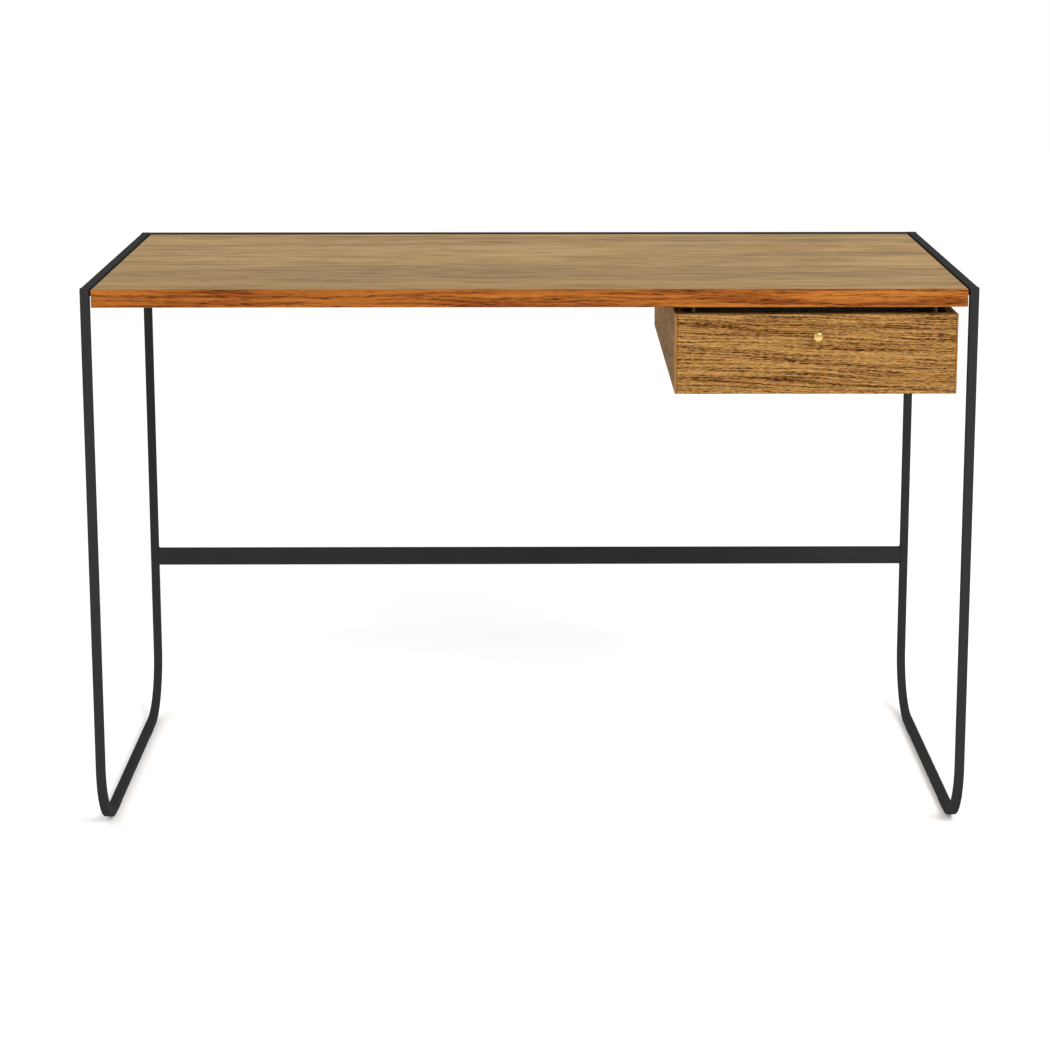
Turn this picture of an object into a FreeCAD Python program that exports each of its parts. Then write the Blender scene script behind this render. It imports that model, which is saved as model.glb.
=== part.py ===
import FreeCAD, Part
import math
import operator
import os

import Sketcher

# A writing desk: two sled-shaped side frames of square steel bar carry a wooden top, and one wooden
# drawer hangs under the top's right half on ball-bearing slides that sit inside the drawer's walls.
# Millimetres, +Z up, front towards -Y, origin on the floor at the middle of the overall box.

DESK = FreeCAD.newDocument("WritingDesk")
SHEET = DESK.addObject("Spreadsheet::Sheet", "Sizes")
SHEET_ROWS = []
PIECES = {}


# ---- sizes ------------------------------------------------------------------------------------

OPERATIONS = {
    "+": operator.add,
    "-": operator.sub,
    "*": operator.mul,
    "/": operator.truediv,
}


class Size:
    """A length: its number in millimetres, and the sheet expression that gives it."""

    def __init__(self, number, text):
        self.number = float(number)
        self.text = text

    def __add__(self, other):
        return combined(self, "+", other)

    def __radd__(self, other):
        return combined(other, "+", self)

    def __sub__(self, other):
        return combined(self, "-", other)

    def __rsub__(self, other):
        return combined(other, "-", self)

    def __mul__(self, other):
        return combined(self, "*", other)

    def __rmul__(self, other):
        return combined(other, "*", self)

    def __truediv__(self, other):
        return combined(self, "/", other)

    def __neg__(self):
        return combined(0, "-", self)


def as_size(value):
    return value if isinstance(value, Size) else Size(value, f"({float(value)})")


def combined(left, sign, right):
    left, right = as_size(left), as_size(right)
    number = OPERATIONS[sign](left.number, right.number)
    return Size(number, f"({left.text} {sign} {right.text})")


def cell(alias, number, meaning):
    """Adds one driving dimension to the sheet and returns it."""
    SHEET_ROWS.append(alias)
    row = len(SHEET_ROWS)
    SHEET.set(f"A{row}", meaning)
    SHEET.set(f"B{row}", str(number))
    SHEET.setAlias(f"B{row}", alias)
    return Size(number, f"Sizes.{alias}")


DESK_WIDE = cell("desk_wide", 1180, "overall width")
DESK_DEEP = cell("desk_deep", 590, "overall depth")
DESK_TALL = cell("desk_tall", 755, "floor to the top of the steel frame")

BAR = cell("bar_side", 12, "side of the square steel bar")
BAR_CORNER = cell("bar_corner", 1.2, "rounding of the bar's long edges")
BEND_RADIUS = cell("bend_radius", 89, "centreline radius of the bends at the floor")
STRETCHER_TALL = cell("stretcher_tall", 25.5, "height of the rear crossbar")
STRETCHER_LOW = cell("stretcher_low", 235.5, "floor to the crossbar's lower edge")
STRETCHER_WALL = cell("stretcher_wall", 1.5, "wall of the crossbar's tube")
TUBE_CORNER = cell("tube_corner", 0.6, "rounding of the crossbar's hollow")

GLIDE_THICK = cell("glide_thick", 2, "nylon pad under the runner")
GLIDE_WIDE = cell("glide_wide", 11, "width of a nylon pad")
GLIDE_LONG = cell("glide_long", 44, "length of a nylon pad")
GLIDE_CORNER = cell("glide_corner", 5, "rounded ends of a nylon pad")
GLIDE_ROUNDING = cell("glide_rounding", 0.6, "softened lower edge of a nylon pad")
GLIDE_REACH = cell("glide_reach", 165, "pad's distance in front of and behind the middle")
STEM_RADIUS = cell("stem_radius", 2.5, "stem of a pad, pressed into the runner")
STEM_LONG = cell("stem_long", 7, "length of the stem")

TOP_THICK = cell("top_thick", 23.5, "thickness of the wooden top")
TOP_DROP = cell("top_drop", 1.5, "top's face below the top of the steel")
TOP_GAP = cell("top_gap", 2.5, "gap between the wood and the steel beside it")
TOP_ROUNDING = cell("top_rounding", 0.8, "softened edges of the top")
LIPPING_THICK = cell("lipping_thick", 6, "solid strip along the front edge")

TAB_SHEET = cell("tab_sheet", 2, "sheet of the welded tabs that carry the top")
TAB_REACH = cell("tab_reach", 30, "tab's flange under the wood")
TAB_TALL = cell("tab_tall", 22, "height of a tab's upright leaf")
TAB_WIDE = cell("tab_wide", 30, "width of a tab")
SIDE_TAB_STEP = cell("side_tab_step", 210, "spacing of the tabs along a side")
REAR_TAB_STEP = cell("rear_tab_step", 380, "spacing of the tabs along the back")
TAB_SCREW_IN = cell("tab_screw_in", 18, "screw's distance from the steel's inner face")

WOOD_SCREW_RADIUS = cell("wood_screw_radius", 2, "shank of the screws into the top")
WOOD_SCREW_LONG = cell("wood_screw_long", 15, "screw length in the wood and the sheet")
HEAD_RADIUS = cell("head_radius", 4, "pan head of the screws into the top")
HEAD_TALL = cell("head_tall", 2.2, "height of that head")
SEAT_RADIUS = cell("seat_radius", 3, "narrow end of that head, which is left proud")
SCREW_PLAY = cell("screw_play", 0.05, "radial play of a screw in its hole")
END_PLAY = cell("end_play", 0.5, "space left at the end of a groove or a blind hole")

DRAWER_WIDE = cell("drawer_wide", 373, "width of the drawer")
DRAWER_DEEP = cell("drawer_deep", 570, "front face to back face of the drawer")
DRAWER_TALL = cell("drawer_tall", 106, "height of the drawer")
DRAWER_DROP = cell("drawer_drop", 10, "open gap between the top and the drawer")
DRAWER_ASIDE = cell("drawer_aside", 14, "gap between the drawer and the right-hand legs")
FRONT_THICK = cell("front_thick", 18, "thickness of the drawer's front")
FRONT_BEVEL = cell("front_bevel", 2.5, "bevel on the front's upright edges")
SIDE_THICK = cell("side_thick", 12, "thickness of the drawer's sides and back")
BOTTOM_THICK = cell("bottom_thick", 6, "thickness of the drawer's bottom")
GROOVE_DEEP = cell("groove_deep", 5, "groove that holds the bottom")
GROOVE_UP = cell("groove_up", 10, "groove above the lower edge")
BOARD_ROUNDING = cell("board_rounding", 0.6, "softened edges of the drawer's boards")
NOTCH_WIDE = cell("notch_wide", 20, "notch in the back that lets the slides through")
NOTCH_LOW = cell("notch_low", 38, "foot of the notch above the drawer's lower edge")
DOWEL_RADIUS = cell("dowel_radius", 3, "wooden dowels in the drawer's corners")
DOWEL_LONG = cell("dowel_long", 28, "length of a dowel")
DOWEL_IN_FACE = cell("dowel_in_face", 10, "depth of a dowel in the face of its board")
FRONT_DOWEL_LOW = cell("front_dowel_low", 27, "lower dowels above the drawer's lower edge")
FRONT_DOWEL_HIGH = cell("front_dowel_high", 86, "upper dowels above the drawer's lower edge")

SLIDE_LONG = cell("slide_long", 400, "length of each slide member")
SLIDE_SETBACK = cell("slide_setback", 9, "slides behind the drawer's front board")
SLIDE_THICK = cell("slide_thick", 12.7, "overall thickness of a slide")
SLIDE_UP = cell("slide_up", 66, "slide's middle above the drawer's lower edge")
SLIDE_SHEET = cell("slide_sheet", 1.2, "sheet that the slides are rolled from")
OUTER_HALF = cell("outer_half", 22.5, "half height of the fixed member")
MIDDLE_HALF = cell("middle_half", 17.8, "half height of the middle member")
INNER_HALF = cell("inner_half", 13.1, "half height of the drawer's member")
OUTER_REACH = cell("outer_reach", 9.7, "flange of the fixed member")
OUTER_LIP = cell("outer_lip", 1.4, "turned lip of the fixed member")
MIDDLE_START = cell("middle_start", 3, "middle member's web off the hanger")
MIDDLE_REACH = cell("middle_reach", 10.2, "end of the middle member's flange")
INNER_START = cell("inner_start", 5.4, "start of the drawer member's flange")
BALL_RADIUS = cell("ball_radius", 1.6, "steel balls of the slides")
BALL_PITCH = cell("ball_pitch", 12, "spacing of the balls")
CAGE_THICK = cell("cage_thick", 0.6, "strip that holds the balls")
CAGE_WIDE = cell("cage_wide", 3.6, "width of that strip")
CAGE_OFFSET = cell("cage_offset", 110, "row of balls off the slide's middle")
OUTER_BALL_OUT = cell("outer_ball_out", 6.2, "outer balls off the hanger")
INNER_BALL_OUT = cell("inner_ball_out", 7.6, "inner balls off the hanger")

HANGER_SHEET = cell("hanger_sheet", 3, "angle that hangs a slide from the top")
HANGER_FLANGE = cell("hanger_flange", 28, "flange under the top")
HANGER_EXTRA = cell("hanger_extra", 4, "angle longer than its slide")
HANGER_SCREW_STEP = cell("hanger_screw_step", 120, "spacing of the angle's screws")
HANGER_SCREW_IN = cell("hanger_screw_in", 16, "screw line off the angle's outer face")
TIE_BACK = cell("tie_back", 100, "rail between the angles, behind the desk's front")
TIE_DEEP = cell("tie_deep", 12, "depth of that rail")
TIE_TALL = cell("tie_tall", 22, "height of that rail")

SLIDE_SCREW_RADIUS = cell("slide_screw_radius", 2, "screws that hold the slides")
SLIDE_HEAD_RADIUS = cell("slide_head_radius", 3.6, "flat head of those screws")
SLIDE_SEAT_RADIUS = cell("slide_seat_radius", 2.7, "narrow end of that head")
SLIDE_HEAD_TALL = cell("slide_head_tall", 0.9, "height of that head")
HANGER_BOLT_LONG = cell("hanger_bolt_long", 6, "screw through slide and angle")
HANGER_BOLT_STEP = cell("hanger_bolt_step", 150, "spacing of those screws")
DRAWER_SCREW_LONG = cell("drawer_screw_long", 10, "screw through slide into the drawer")
DRAWER_SCREW_STEP = cell("drawer_screw_step", 130, "spacing of those screws")

KNOB_UP = cell("knob_up", 79, "knob above the drawer's lower edge")
KNOB_FOOT_RADIUS = cell("knob_foot_radius", 4.6, "foot of the knob")
KNOB_FOOT_TALL = cell("knob_foot_tall", 1.4, "straight rim of the foot")
KNOB_NECK_RADIUS = cell("knob_neck_radius", 3.1, "neck of the knob")
KNOB_NECK_START = cell("knob_neck_start", 2.8, "neck's start off the wood")
KNOB_NECK_END = cell("knob_neck_end", 9, "neck's end off the wood")
KNOB_HEAD_RADIUS = cell("knob_head_radius", 6.3, "head of the knob")
KNOB_HEAD_START = cell("knob_head_start", 13, "widest part's start off the wood")
KNOB_LONG = cell("knob_long", 19, "length of the knob")
KNOB_ROUNDING = cell("knob_rounding", 1.2, "rounded edges of the knob's head")
KNOB_BORE_DEEP = cell("knob_bore_deep", 11, "threaded bore in the knob")
KNOB_SCREW_LONG = cell("knob_screw_long", 28, "screw through the front into the knob")

LEG_FACE = DESK_WIDE / 2 - BAR
FRONT = (KNOB_LONG - DESK_DEEP) / 2
BACK = FRONT + DESK_DEEP
FRAME_MIDDLE = FRONT + DESK_DEEP / 2
BAR_LEVEL = DESK_TALL - BAR / 2
TOP_LEVEL = DESK_TALL - TOP_DROP
UNDERSIDE = TOP_LEVEL - TOP_THICK
TOP_HALF = LEG_FACE - TOP_GAP
TOP_BACK = BACK - BAR - TOP_GAP

DRAWER_LOW = UNDERSIDE - DRAWER_DROP - DRAWER_TALL
DRAWER_MIDDLE = LEG_FACE - DRAWER_ASIDE - DRAWER_WIDE / 2
BOX_HALF = DRAWER_WIDE / 2 - SIDE_THICK
BOX_FRONT = FRONT + FRONT_THICK
BOX_BACK = FRONT + DRAWER_DEEP
HANGER_FACE = BOX_HALF - SLIDE_THICK
SLIDE_MIDDLE = BOX_FRONT + SLIDE_SETBACK + SLIDE_LONG / 2
SLIDE_LEVEL = DRAWER_LOW + SLIDE_UP
HANGER_LOW = SLIDE_LEVEL - OUTER_HALF
HANGER_TALL = UNDERSIDE - HANGER_LOW

PAN_HEAD = (SEAT_RADIUS, HEAD_RADIUS, HEAD_TALL)
FLAT_HEAD = (SLIDE_SEAT_RADIUS, SLIDE_HEAD_RADIUS, SLIDE_HEAD_TALL)
BALLS_IN_ROW = 10
SIDES = (("left", -1), ("right", 1))
THREE_ABOUT_MIDDLE = (-1, 0, 1)
FOUR_ABOUT_MIDDLE = (-1.5, -0.5, 0.5, 1.5)
SAME_PLACE = 0.01
UP, LEFTWARD, RIGHTWARD, FORWARD = ((0, 0, 1), 0), ((0, 1, 0), -90), ((0, 1, 0), 90), ((1, 0, 0), 90)
HALF_TURN = ((0, 0, 1), 180)
QUARTER_TURN_BACK = ((0, 0, 1), -90)


# ---- document helpers -------------------------------------------------------------------------


def bind(thing, path, size):
    thing.setExpression(path, as_size(size).text)


def place(thing, x, y, z, turn=UP):
    """Turns an object about its own origin and binds its position to the sheet."""
    axis, degrees = turn
    turned = FreeCAD.Rotation(FreeCAD.Vector(*axis), degrees)
    thing.Placement = FreeCAD.Placement(FreeCAD.Vector(0, 0, 0), turned)
    for letter, size in zip("xyz", (x, y, z)):
        bind(thing, f"Placement.Base.{letter}", size)


def piece_body(label, x, y, z, turn=UP):
    """Starts a sub-part of the desk as a PartDesign body."""
    body = DESK.addObject("PartDesign::Body", label)
    body.Label = label
    place(body, x, y, z, turn)
    PIECES[label] = body
    return body


def sketch_on(body, role, lift=0):
    """A sketch on one of the body's origin planes, lifted along that plane's normal."""
    plane = next(p for p in body.Origin.OriginFeatures if p.Role == role)
    sketch = body.newObject("Sketcher::SketchObject", "Sketch")
    sketch.AttachmentSupport = (plane, [""])
    sketch.MapMode = "FlatFace"
    bind(sketch, "AttachmentOffset.Base.z", lift)
    return sketch


def hold(sketch, kind, where, size):
    """Adds one dimension to a sketch and binds it to the sheet."""
    size = as_size(size)
    index = sketch.addConstraint(Sketcher.Constraint(kind, *where, size.number))
    name = f"size_{index}"
    sketch.renameConstraint(index, name)
    sketch.setExpression(f"Constraints.{name}", size.text)


def tie(sketch, kind, *where):
    sketch.addConstraint(Sketcher.Constraint(kind, *where))


def hold_point(sketch, edge, end, u, v):
    """Holds an end of an edge at (u, v) from the sketch's origin."""
    hold(sketch, "DistanceX", (-1, 1, edge, end), u)
    hold(sketch, "DistanceY", (-1, 1, edge, end), v)


def flat(u, v):
    return FreeCAD.Vector(as_size(u).number, as_size(v).number, 0)


def draw_polygon(sketch, corners):
    first, count = sketch.GeometryCount, len(corners)
    for i in range(count):
        after = corners[(i + 1) % count]
        sketch.addGeometry(Part.LineSegment(flat(*corners[i]), flat(*after)))
    for i in range(count):
        tie(sketch, "Coincident", first + i, 2, first + (i + 1) % count, 1)
    for i, (u, v) in enumerate(corners):
        hold_point(sketch, first + i, 1, u, v)


def draw_rectangle(sketch, low_u, low_v, high_u, high_v):
    draw_polygon(sketch, [(low_u, low_v), (high_u, low_v), (high_u, high_v), (low_u, high_v)])


def draw_circles(sketch, centres, radius):
    for u, v in centres:
        index = sketch.GeometryCount
        circle = Part.Circle(flat(u, v), FreeCAD.Vector(0, 0, 1), as_size(radius).number)
        sketch.addGeometry(circle)
        hold_point(sketch, index, 3, u, v)
        hold(sketch, "Radius", (index,), radius)


def arc_between(centre, radius, start_degrees, end_degrees):
    circle = Part.Circle(centre, FreeCAD.Vector(0, 0, 1), radius.number)
    return Part.ArcOfCircle(circle, math.radians(start_degrees), math.radians(end_degrees))


def draw_rounded_rectangle(sketch, wide, tall, radius, middle_u=0, middle_v=0):
    """A bar's section: four sides joined by tangent quarter circles, anticlockwise from the foot."""
    first = sketch.GeometryCount
    left, right = middle_u - wide / 2, middle_u + wide / 2
    low, high = middle_v - tall / 2, middle_v + tall / 2
    sides = [
        ((left + radius, low), (right - radius, low)),
        ((right, low + radius), (right, high - radius)),
        ((right - radius, high), (left + radius, high)),
        ((left, high - radius), (left, low + radius)),
    ]
    centres = [
        (right - radius, low + radius),
        (right - radius, high - radius),
        (left + radius, high - radius),
        (left + radius, low + radius),
    ]
    for i in range(4):
        sketch.addGeometry(Part.LineSegment(flat(*sides[i][0]), flat(*sides[i][1])))
        sketch.addGeometry(arc_between(flat(*centres[i]), radius, 90 * i - 90, 90 * i))
    for i in range(8):
        tie(sketch, "Tangent", first + i, 2, first + (i + 1) % 8, 1)
    for i, kind in enumerate(("Horizontal", "Vertical", "Horizontal", "Vertical")):
        tie(sketch, kind, first + 2 * i)
    for i in (3, 5, 7):
        tie(sketch, "Equal", first + 1, first + i)
    hold(sketch, "Radius", (first + 1,), radius)
    hold(sketch, "DistanceY", (-1, 1, first, 1), low)
    hold(sketch, "DistanceX", (-1, 1, first + 2, 1), right)
    hold(sketch, "DistanceY", (-1, 1, first + 4, 1), high)
    hold(sketch, "DistanceX", (-1, 1, first + 6, 1), left)


def pad(body, sketch, length, both_ways=False):
    """Extrudes a sketch along its normal, or half each way."""
    feature = body.newObject("PartDesign::Pad", "Pad")
    feature.Profile = sketch
    feature.Midplane = both_ways
    bind(feature, "Length", length)
    body.Tip = feature
    return feature


def cut(body, sketch, depth, along_normal=False):
    """Pockets a sketch against its normal, or along it, and checks that wood or metal went."""
    DESK.recompute()
    before = body.Shape.Volume
    feature = body.newObject("PartDesign::Pocket", "Pocket")
    feature.Profile = sketch
    feature.Reversed = along_normal
    bind(feature, "Length", depth)
    body.Tip = feature
    DESK.recompute()
    if body.Shape.Volume >= before:
        raise RuntimeError(f"a pocket in {body.Label} cuts nothing")
    return feature


def dress_edges(body, kind, size, chosen):
    """Fillets or chamfers the edges whose middle point passes the test."""
    DESK.recompute()
    edges = body.Shape.Edges
    inverse = body.Placement.inverse()
    names = [
        f"Edge{i + 1}"
        for i, edge in enumerate(edges)
        if chosen(inverse.multVec(edge.CenterOfMass))
    ]
    base = body.Tip
    feature = body.newObject(f"PartDesign::{kind}", kind)
    feature.Base = (base, names)
    bind(feature, "Radius" if kind == "Fillet" else "Size", size)
    body.Tip = feature
    return feature


def repeat(body, features, sketch, length, count):
    """Repeats features in a row along the sketch's normal."""
    DESK.recompute()
    row = body.newObject("PartDesign::LinearPattern", "Row")
    row.Originals = features
    row.Direction = (sketch, ["N_Axis"])
    bind(row, "Length", length)
    row.Occurrences = count
    body.Tip = row
    return row


def near(value, size):
    return abs(value - as_size(size).number) < SAME_PLACE


# ---- steel frame ------------------------------------------------------------------------------


def long_bar(label, role, wide, tall, length, x, y, z):
    """A straight bar with rounded edges, extruded both ways from its middle."""
    body = piece_body(label, x, y, z)
    section = sketch_on(body, role)
    draw_rounded_rectangle(section, wide, tall, BAR_CORNER)
    pad(body, section, length, both_ways=True)
    return body, section


def draw_sled_path(sketch, half_span, leg_top):
    """The bar's centreline: front leg down, bend, floor runner, bend, rear leg up."""
    bend, floor = BEND_RADIUS, as_size(0)
    ends = [
        ((-half_span, leg_top), (-half_span, bend)),
        ((bend - half_span, floor), (half_span - bend, floor)),
        ((half_span, bend), (half_span, leg_top)),
    ]
    sketch.addGeometry(Part.LineSegment(flat(*ends[0][0]), flat(*ends[0][1])))
    sketch.addGeometry(arc_between(flat(bend - half_span, bend), bend, 180, 270))
    sketch.addGeometry(Part.LineSegment(flat(*ends[1][0]), flat(*ends[1][1])))
    sketch.addGeometry(arc_between(flat(half_span - bend, bend), bend, 270, 360))
    sketch.addGeometry(Part.LineSegment(flat(*ends[2][0]), flat(*ends[2][1])))
    for i in range(4):
        tie(sketch, "Tangent", i, 2, i + 1, 1)
    tie(sketch, "Vertical", 0)
    tie(sketch, "Horizontal", 2)
    tie(sketch, "Vertical", 4)
    tie(sketch, "Equal", 1, 3)
    tie(sketch, "PointOnObject", 2, 1, -1)
    hold(sketch, "Radius", (1,), bend)
    hold_point(sketch, 0, 1, -half_span, leg_top)
    hold_point(sketch, 4, 2, half_span, leg_top)


def glide_spots():
    return [(0, -GLIDE_REACH), (0, GLIDE_REACH)]


def make_sled_leg(side, sign):
    """One square bar bent to a U, with two blind holes under the runner for the glides' stems."""
    floor = GLIDE_THICK + BAR / 2
    half_span = (DESK_DEEP - BAR) / 2
    leg_top = DESK_TALL - floor
    body = piece_body(f"{side}_sled_leg", sign * (DESK_WIDE - BAR) / 2, FRAME_MIDDLE, floor)
    path = sketch_on(body, "YZ_Plane")
    draw_sled_path(path, half_span, leg_top)
    section = sketch_on(body, "XY_Plane", leg_top)
    draw_rounded_rectangle(section, BAR, BAR, BAR_CORNER, 0, -half_span)
    DESK.recompute()
    bar = body.newObject("PartDesign::AdditivePipe", "BentBar")
    bar.Profile = section
    bar.Spine = (path, [f"Edge{i + 1}" for i in range(5)])
    body.Tip = bar
    holes = sketch_on(body, "XY_Plane", -BAR / 2)
    draw_circles(holes, glide_spots(), STEM_RADIUS + SCREW_PLAY)
    cut(body, holes, STEM_LONG + END_PLAY, along_normal=True)


def make_top_bar(side, sign):
    length = DESK_DEEP - 2 * BAR
    across = sign * (DESK_WIDE - BAR) / 2
    long_bar(f"{side}_top_bar", "XZ_Plane", BAR, BAR, length, across, FRAME_MIDDLE, BAR_LEVEL)


def make_rear_rails():
    """The rail along the top's back edge, and the hollow crossbar low between the rear legs."""
    length, depth = 2 * LEG_FACE, BACK - BAR / 2
    long_bar("rear_top_rail", "YZ_Plane", BAR, BAR, length, 0, depth, BAR_LEVEL)
    level = STRETCHER_LOW + STRETCHER_TALL / 2
    body = piece_body("rear_stretcher", 0, depth, level)
    section = sketch_on(body, "YZ_Plane")
    draw_rounded_rectangle(section, BAR, STRETCHER_TALL, BAR_CORNER)
    inner_wide, inner_tall = BAR - 2 * STRETCHER_WALL, STRETCHER_TALL - 2 * STRETCHER_WALL
    draw_rounded_rectangle(section, inner_wide, inner_tall, TUBE_CORNER)
    pad(body, section, length, both_ways=True)


def make_glide(name, sign_x, sign_y):
    """A nylon pad that keeps the runner off the floor, with a stem pressed into the runner."""
    x = sign_x * (DESK_WIDE - BAR) / 2
    body = piece_body(name, x, FRAME_MIDDLE + sign_y * GLIDE_REACH, 0)
    outline = sketch_on(body, "XY_Plane")
    draw_rounded_rectangle(outline, GLIDE_WIDE, GLIDE_LONG, GLIDE_CORNER)
    pad(body, outline, GLIDE_THICK)
    dress_edges(body, "Fillet", GLIDE_ROUNDING, lambda point: near(point.z, 0))
    stem = sketch_on(body, "XY_Plane", GLIDE_THICK)
    draw_circles(stem, [(0, 0)], STEM_RADIUS)
    pad(body, stem, STEM_LONG)


def make_support_tabs(label, x, y, turn, step):
    """Three L-shaped tabs in a row: an upright leaf on the steel and a flange under the wood."""
    body = piece_body(label, x, y, UNDERSIDE - TAB_SHEET, turn)
    section = sketch_on(body, "XZ_Plane", -step)
    leaf = [(TAB_SHEET, TAB_SHEET), (TAB_SHEET, TAB_TALL), (0, TAB_TALL)]
    draw_polygon(section, [(0, 0), (TAB_REACH, 0), (TAB_REACH, TAB_SHEET), *leaf])
    tab = pad(body, section, TAB_WIDE, both_ways=True)
    hole = sketch_on(body, "XY_Plane", TAB_SHEET)
    draw_circles(hole, [(TAB_SCREW_IN, step)], WOOD_SCREW_RADIUS + SCREW_PLAY)
    bored = cut(body, hole, TAB_SHEET)
    repeat(body, [tab, bored], section, 2 * step, 3)


def make_frame():
    for side, sign in SIDES:
        make_sled_leg(side, sign)
        make_top_bar(side, sign)
        make_glide(f"front_{side}_glide", sign, -1)
        make_glide(f"rear_{side}_glide", sign, 1)
    make_rear_rails()
    make_support_tabs("left_support_tabs", -LEG_FACE, FRAME_MIDDLE, UP, SIDE_TAB_STEP)
    make_support_tabs("right_support_tabs", LEG_FACE, FRAME_MIDDLE, HALF_TURN, SIDE_TAB_STEP)
    make_support_tabs("rear_support_tabs", 0, BACK - BAR, QUARTER_TURN_BACK, REAR_TAB_STEP)


# ---- wooden top -------------------------------------------------------------------------------


def side_tab_screws(sign):
    x = sign * (LEG_FACE - TAB_SCREW_IN)
    return [(x, FRAME_MIDDLE + k * SIDE_TAB_STEP) for k in THREE_ABOUT_MIDDLE]


def rear_tab_screws():
    y = BACK - BAR - TAB_SCREW_IN
    return [(k * REAR_TAB_STEP, y) for k in THREE_ABOUT_MIDDLE]


def hanger_screws(sign):
    x = DRAWER_MIDDLE + sign * (HANGER_FACE - HANGER_SCREW_IN)
    return [(x, SLIDE_MIDDLE + k * HANGER_SCREW_STEP) for k in FOUR_ABOUT_MIDDLE]


def make_tabletop():
    """The veneered panel, with pilot holes in its underside, and the solid strip on its front."""
    join = FRONT + LIPPING_THICK
    panel = piece_body("tabletop_panel", 0, 0, UNDERSIDE)
    outline = sketch_on(panel, "XY_Plane")
    draw_rectangle(outline, -TOP_HALF, join, TOP_HALF, TOP_BACK)
    pad(panel, outline, TOP_THICK)
    dress_edges(panel, "Fillet", TOP_ROUNDING, lambda point: not near(point.y, join))
    pilots = sketch_on(panel, "XY_Plane")
    spots = side_tab_screws(-1) + side_tab_screws(1) + rear_tab_screws()
    spots += hanger_screws(-1) + hanger_screws(1)
    draw_circles(pilots, spots, WOOD_SCREW_RADIUS + SCREW_PLAY)
    cut(panel, pilots, WOOD_SCREW_LONG, along_normal=True)

    lipping = piece_body("front_edge_lipping", 0, 0, UNDERSIDE)
    strip = sketch_on(lipping, "XY_Plane")
    draw_rectangle(strip, -TOP_HALF, FRONT, TOP_HALF, join)
    pad(lipping, strip, TOP_THICK)
    dress_edges(lipping, "Fillet", TOP_ROUNDING, lambda point: not near(point.y, join))


# ---- drawer -----------------------------------------------------------------------------------


def make_drawer_front():
    """The front board: bevelled upright edges, a groove for the bottom, dowel and knob holes."""
    body = piece_body("drawer_front", DRAWER_MIDDLE, BOX_FRONT, DRAWER_LOW)
    half = DRAWER_WIDE / 2
    outline = sketch_on(body, "XZ_Plane")
    draw_rectangle(outline, -half, 0, half, DRAWER_TALL)
    pad(body, outline, FRONT_THICK)
    dress_edges(
        body,
        "Chamfer",
        FRONT_BEVEL,
        lambda point: near(point.y, -FRONT_THICK) and near(abs(point.x), half),
    )
    dress_edges(
        body,
        "Fillet",
        BOARD_ROUNDING,
        lambda point: near(point.y, -FRONT_THICK) and near(point.x, 0),
    )
    groove = sketch_on(body, "XZ_Plane")
    reach = BOX_HALF + GROOVE_DEEP
    draw_rectangle(groove, -reach, GROOVE_UP, reach, GROOVE_UP + BOTTOM_THICK)
    cut(body, groove, GROOVE_DEEP, along_normal=True)
    dowels = sketch_on(body, "XZ_Plane")
    spots = [(sign * (half - SIDE_THICK / 2), up) for _, sign in SIDES for up in front_dowel_levels()]
    draw_circles(dowels, spots, DOWEL_RADIUS + SCREW_PLAY)
    cut(body, dowels, DOWEL_IN_FACE + END_PLAY, along_normal=True)
    knob_hole = sketch_on(body, "XZ_Plane")
    draw_circles(knob_hole, [(0, KNOB_UP)], WOOD_SCREW_RADIUS + SCREW_PLAY)
    cut(body, knob_hole, FRONT_THICK, along_normal=True)


def front_dowel_levels():
    return (FRONT_DOWEL_LOW, FRONT_DOWEL_HIGH)


def drawer_screw_rows():
    return [SLIDE_MIDDLE + k * DRAWER_SCREW_STEP for k in THREE_ABOUT_MIDDLE]


def make_drawer_side(side, sign):
    """A side board. Its inner face takes the bottom's groove, the slide's screws and a dowel."""
    x = DRAWER_MIDDLE - DRAWER_WIDE / 2 if sign < 0 else DRAWER_MIDDLE + BOX_HALF
    body = piece_body(f"drawer_{side}_side", x, 0, DRAWER_LOW)
    outline = sketch_on(body, "YZ_Plane")
    draw_rectangle(outline, BOX_FRONT, 0, BOX_BACK, DRAWER_TALL)
    pad(body, outline, SIDE_THICK)
    dress_edges(body, "Fillet", BOARD_ROUNDING, lambda point: not near(point.y, BOX_FRONT))
    inner_face = SIDE_THICK if sign < 0 else 0
    groove = sketch_on(body, "YZ_Plane", inner_face)
    draw_rectangle(groove, BOX_FRONT, GROOVE_UP, BOX_BACK, GROOVE_UP + BOTTOM_THICK)
    cut(body, groove, GROOVE_DEEP, along_normal=sign > 0)
    pilots = sketch_on(body, "YZ_Plane", inner_face)
    spots = [(y, SLIDE_UP) for y in drawer_screw_rows()]
    draw_circles(pilots, spots, SLIDE_SCREW_RADIUS + SCREW_PLAY)
    cut(body, pilots, DRAWER_SCREW_LONG, along_normal=sign > 0)
    back_dowel = sketch_on(body, "YZ_Plane", inner_face)
    draw_circles(back_dowel, [(BOX_BACK - SIDE_THICK / 2, FRONT_DOWEL_LOW)], DOWEL_RADIUS + SCREW_PLAY)
    cut(body, back_dowel, DOWEL_IN_FACE + END_PLAY, along_normal=sign > 0)
    end_dowels = sketch_on(body, "XZ_Plane", -BOX_FRONT)
    spots = [(SIDE_THICK / 2, up) for up in front_dowel_levels()]
    draw_circles(end_dowels, spots, DOWEL_RADIUS + SCREW_PLAY)
    cut(body, end_dowels, DOWEL_LONG - DOWEL_IN_FACE + END_PLAY)


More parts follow.
